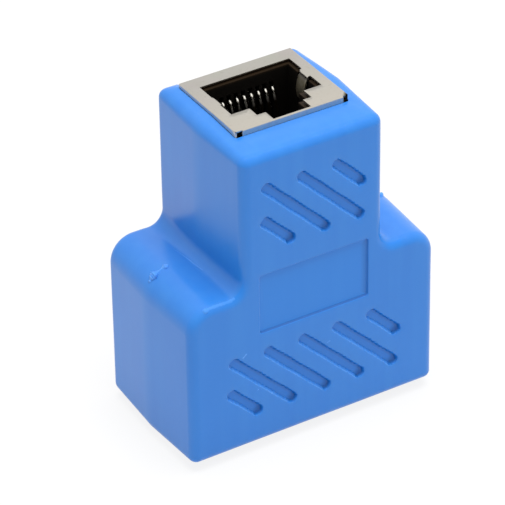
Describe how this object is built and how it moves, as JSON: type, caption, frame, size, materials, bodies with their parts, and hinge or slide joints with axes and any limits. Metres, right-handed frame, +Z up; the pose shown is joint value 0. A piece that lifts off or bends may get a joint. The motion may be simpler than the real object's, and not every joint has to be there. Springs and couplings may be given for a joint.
{
  "type": "network splitter adapter",
  "caption": "Tee-shaped moulded adapter that joins a shielded modular network socket on its stem to matching sockets in its wide lower block.",
  "frame": {"origin": "middle of the underside's bounding rectangle, on the plane of the two lower socket faces that the part stands on", "axes": "+Z up along the stem out of the top socket, X along the wide lower block, -Y towards the face with the recessed panel"},
  "size_m": [0.0364, 0.0206, 0.0443],
  "materials": {
    "moulded_body": "soft moulded PVC, satin",
    "shield": "nickel plated sheet, satin",
    "housing": "black moulded PBT",
    "carrier": "black moulded PBT",
    "contact": "gold flashed spring wire",
    "board": "glass-filled epoxy with green mask"
  },
  "bodies": {
    "root": {"body": "moulded_body", "circuit_board": "board", "top_shield": "shield", "top_housing": "housing", "top_carrier": "carrier", "top_contact_1": "contact", "top_contact_2": "contact", "top_contact_3": "contact", "top_contact_4": "contact", "top_contact_5": "contact", "top_contact_6": "contact", "top_contact_7": "contact", "top_contact_8": "contact", "left_shield": "shield", "left_housing": "housing", "left_carrier": "carrier", "left_contact_1": "contact", "left_contact_2": "contact", "left_contact_3": "contact", "left_contact_4": "contact", "left_contact_5": "contact", "left_contact_6": "contact", "left_contact_7": "contact", "left_contact_8": "contact", "right_shield": "shield", "right_housing": "housing", "right_carrier": "carrier", "right_contact_1": "contact", "right_contact_2": "contact", "right_contact_3": "contact", "right_contact_4": "contact", "right_contact_5": "contact", "right_contact_6": "contact", "right_contact_7": "contact", "right_contact_8": "contact"}
  },
  "joints": []
}
